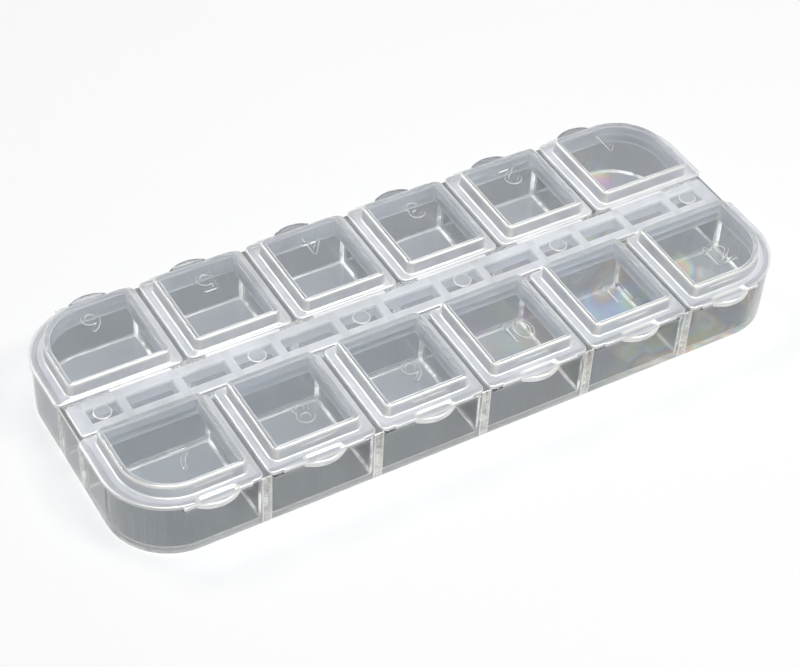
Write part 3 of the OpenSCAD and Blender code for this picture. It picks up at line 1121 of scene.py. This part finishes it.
def build_strip(settings):
    """The strip: a plate on a foot, less the pockets between the ribs, and the round pads."""
    strip = settings.strip
    rail_out, rail_in, plate, rib, rib_end, pad_r = millimetres(
        strip, "rail_out", "rail_in", "plate", "rib", "rib_end", "pad_r"
    )
    low, high = STRIP_LOW, STRIP_HIGH
    top = high.z - 0.1
    half_y = high.y
    foot = (
        (-rib_end - 1.4, -rail_out),
        (rib_end + 1.4, rail_out),
    )
    rings = []

    def on(base, r, inset, z):
        rings.append([(x, y, z) for x, y in outline(base[0], base[1], [r] * 4, [5] * 4, inset)])

    for inset, down in quarter_turn(0.2, 3):
        on(foot, 0.3, inset, low.z + down)
    on(foot, 0.3, 0.0, plate)
    face = ((low.x, -half_y), (high.x, half_y))
    on(face, 0.5, 0.06, plate)
    on(face, 0.5, 0.0, plate + 0.08)
    for inset, down in quarter_turn(0.2, 4)[::-1]:
        on(face, 0.5, inset, top - down)
    body = piece("moulded_spine", skin(rings))
    edges = [-rib_end] + sorted([-x for x in RIBS] + RIBS) + [rib_end]
    pockets = []
    for i, (left, right) in enumerate(zip(edges, edges[1:])):
        a = left + (rib / 2 if i else 0)
        b = right - (rib / 2 if i < len(edges) - 2 else 0)
        hollow = rounded_block(
            (a, -rail_in, low.z - 1), (b, rail_in, plate + 0.0), [0.25] * 4, [3] * 4, 0.18, 0.05
        )
        pockets.append(piece("pocket", hollow))
    combine(body, pockets, "DIFFERENCE")
    pads = []
    for x in [-x for x in PADS] + PADS:
        pads.append(piece("pad", disc(x, pad_r, top - 0.15, high.z)))
    combine(body, pads, "UNION")
    cuts = [((0, y, 0), (0, 1, 0)) for y in (-rail_in, rail_in)]
    cuts += [((x, 0, 0), (1, 0, 0)) for x in (-rib_end - 1.4, -rib_end, rib_end, rib_end + 1.4)]
    middles = [side * x for x in RIBS for side in (-1, 1)]
    cuts += [((x + off, 0, 0), (1, 0, 0)) for x in middles for off in (-rib / 2, rib / 2)]
    split(body, cuts)
    mark(body.data, "thickness", strip_thickness)
    finish_mesh(body)
    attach(body, TRAY_BODY)
    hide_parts("spine")
    return body


def disc(x, r, low, high):
    """A low round pad with a softened edge."""
    rings = []
    for radius, z in ((r, low), (r, high - 0.08), (r - 0.2, high)):
        rings.append(
            [
                (x + radius * math.cos(math.tau * i / 32), radius * math.sin(math.tau * i / 32), z)
                for i in range(32)
            ]
        )
    return skin(rings)


def split(thing, cuts):
    """Cuts a piece's faces along planes, so that each part gets a shade of its own."""
    made = bmesh.new()
    made.from_mesh(thing.data)
    for point, normal in cuts:
        whole = made.verts[:] + made.edges[:] + made.faces[:]
        bmesh.ops.bisect_plane(made, geom=whole, dist=1e-4, plane_co=point, plane_no=normal)
    made.to_mesh(thing.data)
    made.free()


def strip_thickness(at, normal):
    """Rails and ribs are thick and milky, and the thin plate over a pocket is clearer."""
    along = abs(at.x)
    if along > 61 or min(abs(along - x) for x in RIBS) < 0.75:
        return 0.85
    if at.z > STRIP_HIGH.z - 0.05:
        return 0.4
    return 0.2 if abs(at.y) < 1.7 and at.z > 10 else 0.95


def build_webs(settings):
    """Living hinges: a thin waisted film from the strip to each lid."""
    web = settings.strip.web / MM
    made = []
    for label in LIDS:
        node = f"hinge_web_{label}"
        low, high = box_mm(node)
        side = 1 if low.y > 0 else -1
        near, far = (low.y, high.y) if side > 0 else (high.y, low.y)
        middle_z = (low.z + high.z) / 2
        rings = []
        count = 10
        for i in range(count + 1):
            t = i / count
            y = near + (far - near) * t
            half = web / 2 * (1 - 0.35 * math.sin(math.pi * t))
            corners = (low.x, middle_z - half), (high.x, middle_z + half)
            ring = outline(*corners, [half * 0.9] * 4, [2] * 4)
            rings.append([(x, y, z) for x, z in ring])
        thing = piece(f"film_{node}", skin(rings))
        mark(thing.data, "thickness", lambda at, normal: 1.0)
        finish_mesh(thing)
        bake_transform(thing)
        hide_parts(node)
        made.append(thing)
    return made


# --------------------------------------------------------------- operators


class OBJECT_OT_organizer_tray(bpy.types.Operator):
    """Build the clear tray with its twelve compartments"""

    bl_idname = "object.organizer_tray"
    bl_label = "Tray"

    def execute(self, context):
        settings = context.scene.bead_organizer
        body = build_tray(settings)
        body.name = "moulded_tray"
        body.data.materials.clear()
        body.data.materials.append(clear_polystyrene_moulded(settings.finish))
        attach(body, TRAY_BODY)
        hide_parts("tray")
        return {"FINISHED"}


class OBJECT_OT_organizer_lids(bpy.types.Operator):
    """Build the twelve lids with their tabs, latches and numbers"""

    bl_idname = "object.organizer_lids"
    bl_label = "Lids"

    def execute(self, context):
        settings = context.scene.bead_organizer
        material = natural_polypropylene_moulded(settings.finish)
        for thing in build_lids(settings):
            thing.data.materials.clear()
            thing.data.materials.append(material)
        return {"FINISHED"}


class OBJECT_OT_organizer_strip(bpy.types.Operator):
    """Build the strip with its rails, ribs and round pads, and the hinge films"""

    bl_idname = "object.organizer_strip"
    bl_label = "Strip and hinges"

    def execute(self, context):
        settings = context.scene.bead_organizer
        strip = natural_polypropylene_moulded(settings.finish, "natural_polypropylene_strip")
        film = natural_polypropylene_moulded(settings.finish, "stress_whitened_polypropylene", 0.2)
        body = build_strip(settings)
        body.data.materials.clear()
        body.data.materials.append(strip)
        for thing in build_webs(settings):
            thing.data.materials.clear()
            thing.data.materials.append(film)
        return {"FINISHED"}


class OBJECT_OT_organizer_stage(bpy.types.Operator):
    """Build the floor, the lamps and the camera"""

    bl_idname = "object.organizer_stage"
    bl_label = "Stage"

    def execute(self, context):
        stage = context.scene.bead_organizer.stage
        add_floor()
        add_lamps(stage)
        add_camera(context.scene, stage)
        context.scene.view_settings.view_transform = "Standard"
        # light crosses many skins of the clear mouldings before it leaves them
        cycles = context.scene.cycles
        cycles.max_bounces = cycles.transmission_bounces = 24
        cycles.transparent_max_bounces = 24
        return {"FINISHED"}


def seen_ray(tree):
    """1 for camera, glossy and transmission rays, which see the backdrop itself, and 0 for
    the rays that light a matt surface, also where they come through the plastic."""
    path = add(tree, "ShaderNodeLightPath").outputs
    seen = path["Is Camera Ray"]
    for other in ("Is Glossy Ray", "Is Transmission Ray"):
        seen = add(tree, "ShaderNodeMath", {0: seen, 1: path[other]}, operation="MAXIMUM")
    direct = {0: path["Diffuse Depth"], 1: 0.5}
    direct = add(tree, "ShaderNodeMath", direct, operation="LESS_THAN")
    return add(tree, "ShaderNodeMath", {0: seen, 1: direct}, operation="MULTIPLY")


def add_floor():
    """A large pale floor that shows white and still takes the object's soft shadow."""
    made = bmesh.new()
    bmesh.ops.create_grid(made, x_segments=8, y_segments=8, size=2.5 / MM)
    bmesh.ops.translate(made, vec=(0, 0, -0.06), verts=made.verts)
    bmesh.ops.transform(made, matrix=Matrix.Scale(MM, 4), verts=made.verts)
    floor = piece("floor", made)
    material, tree, place = new_material("matt_white_paper")
    paper = add(tree, "ShaderNodeBsdfDiffuse", {"Color": (*linear("FBFBFB"), 1.0)})
    white = add(tree, "ShaderNodeEmission", {"Color": (1, 1, 1, 1), "Strength": 1.0})
    # beyond the lamps' reach, 200 to 450 mm away, the paper shows as plain white
    away = add(tree, "ShaderNodeVectorMath", {0: place}, operation="LENGTH").outputs["Value"]
    away = add(
        tree,
        "ShaderNodeMapRange",
        {"Value": away, "From Min": 200 * MM, "From Max": 450 * MM, "To Min": 0.05},
    )
    seen = add(tree, "ShaderNodeMath", {0: seen_ray(tree), 1: away}, operation="MULTIPLY")
    mix = add(tree, "ShaderNodeMixShader", {0: seen, 1: paper, 2: white})
    add(tree, "ShaderNodeOutputMaterial", {"Surface": mix})
    floor.data.materials.append(material)


def add_lamps(stage):
    """Plain soft studio light: three large lamps and the white room around them."""
    lamps = (
        ("key", (0.36, -0.42, 0.74), 0.16, 0.16, 2.1),
        ("back", (-0.20, 0.55, 0.70), 0.16, 0.16, 1.3),
        ("top", (0.02, -0.06, 0.85), 0.5, 0.4, 4.4),
    )
    for name, place, width, height, power in lamps:
        light = bpy.data.lights.new(name, "AREA")
        light.shape, light.size, light.size_y = "RECTANGLE", width, height
        light.energy = power * stage.lamp
        lamp = bpy.data.objects.new(name, light)
        bpy.context.scene.collection.objects.link(lamp)
        lamp.location = place
        lamp.rotation_euler = (-Vector(place)).to_track_quat("-Z", "Y").to_euler()
    world = bpy.data.worlds.new("white_room")
    bpy.context.scene.world = world
    world.use_nodes = True
    tree = world.node_tree
    tree.nodes.clear()
    dim = (*linear("F4F6FA"), 1.0)
    lit = add(tree, "ShaderNodeBackground", {"Color": dim, "Strength": 0.15})
    seen = add(tree, "ShaderNodeBackground", {"Color": (1, 1, 1, 1), "Strength": 1.0})
    mix = add(tree, "ShaderNodeMixShader", {0: seen_ray(tree), 1: lit, 2: seen})
    add(tree, "ShaderNodeOutputWorld", {"Surface": mix})


def add_camera(scene, stage):
    """The camera at the photograph's viewing angle."""
    data = bpy.data.cameras.new("camera")
    data.lens, data.sensor_width = stage.lens, 36.0
    data.clip_start, data.clip_end = 0.01, 20.0
    camera = bpy.data.objects.new("camera", data)
    scene.collection.objects.link(camera)
    a, e, roll = stage.azimuth, stage.elevation, stage.roll
    back = Vector((math.sin(a) * math.cos(e), -math.cos(a) * math.cos(e), math.sin(e)))
    right = Vector((math.cos(a), math.sin(a), 0))
    up = back.cross(right)
    turned_right = right * math.cos(roll) + up * math.sin(roll)
    turned_up = up * math.cos(roll) - right * math.sin(roll)
    # where the line of sight passes the tray, measured on the photograph
    aim = right * (-1.80 * MM) + up * (1.99 * MM)
    place = back * stage.distance + aim
    camera.matrix_world = Matrix(
        (
            (turned_right.x, turned_up.x, back.x, place.x),
            (turned_right.y, turned_up.y, back.y, place.y),
            (turned_right.z, turned_up.z, back.z, place.z),
            (0, 0, 0, 1),
        )
    )
    scene.camera = camera


class VIEW3D_PT_organizer(bpy.types.Panel):
    """Lists the pieces of the bead organizer"""

    bl_idname = "VIEW3D_PT_organizer"
    bl_label = "Bead organizer"
    bl_space_type = "VIEW_3D"
    bl_region_type = "UI"
    bl_category = "Bead organizer"

    def draw(self, context):
        settings = context.scene.bead_organizer
        for part in (settings.tray, settings.lid, settings.strip, settings.finish, settings.stage):
            column = self.layout.column(heading=part.bl_rna.name)
            for name in part.bl_rna.properties.keys():
                if name not in ("rna_type", "name"):
                    column.prop(part, name)
        for operator in OPERATORS:
            self.layout.operator(operator.bl_idname)


OPERATORS = (
    OBJECT_OT_organizer_stage,
    OBJECT_OT_organizer_tray,
    OBJECT_OT_organizer_strip,
    OBJECT_OT_organizer_lids,
)
CLASSES = (
    TraySizes,
    LidSizes,
    StripSizes,
    Finishes,
    StageSettings,
    BeadOrganizerSettings,
    *OPERATORS,
    VIEW3D_PT_organizer,
)


def register():
    """Adds the classes, and the settings to the scene."""
    for item in CLASSES:
        bpy.utils.register_class(item)
    bpy.types.Scene.bead_organizer = PointerProperty(
        type=BeadOrganizerSettings, name="Bead organizer", description="Its settings"
    )


def unregister():
    """Takes the settings and the classes away again."""
    del bpy.types.Scene.bead_organizer
    for item in reversed(CLASSES):
        bpy.utils.unregister_class(item)


def main():
    """Builds the stage and every piece."""
    register()
    bpy.ops.object.organizer_stage()
    bpy.ops.object.organizer_tray()
    bpy.ops.object.organizer_strip()
    bpy.ops.object.organizer_lids()


if __name__ == "__main__":
    main()
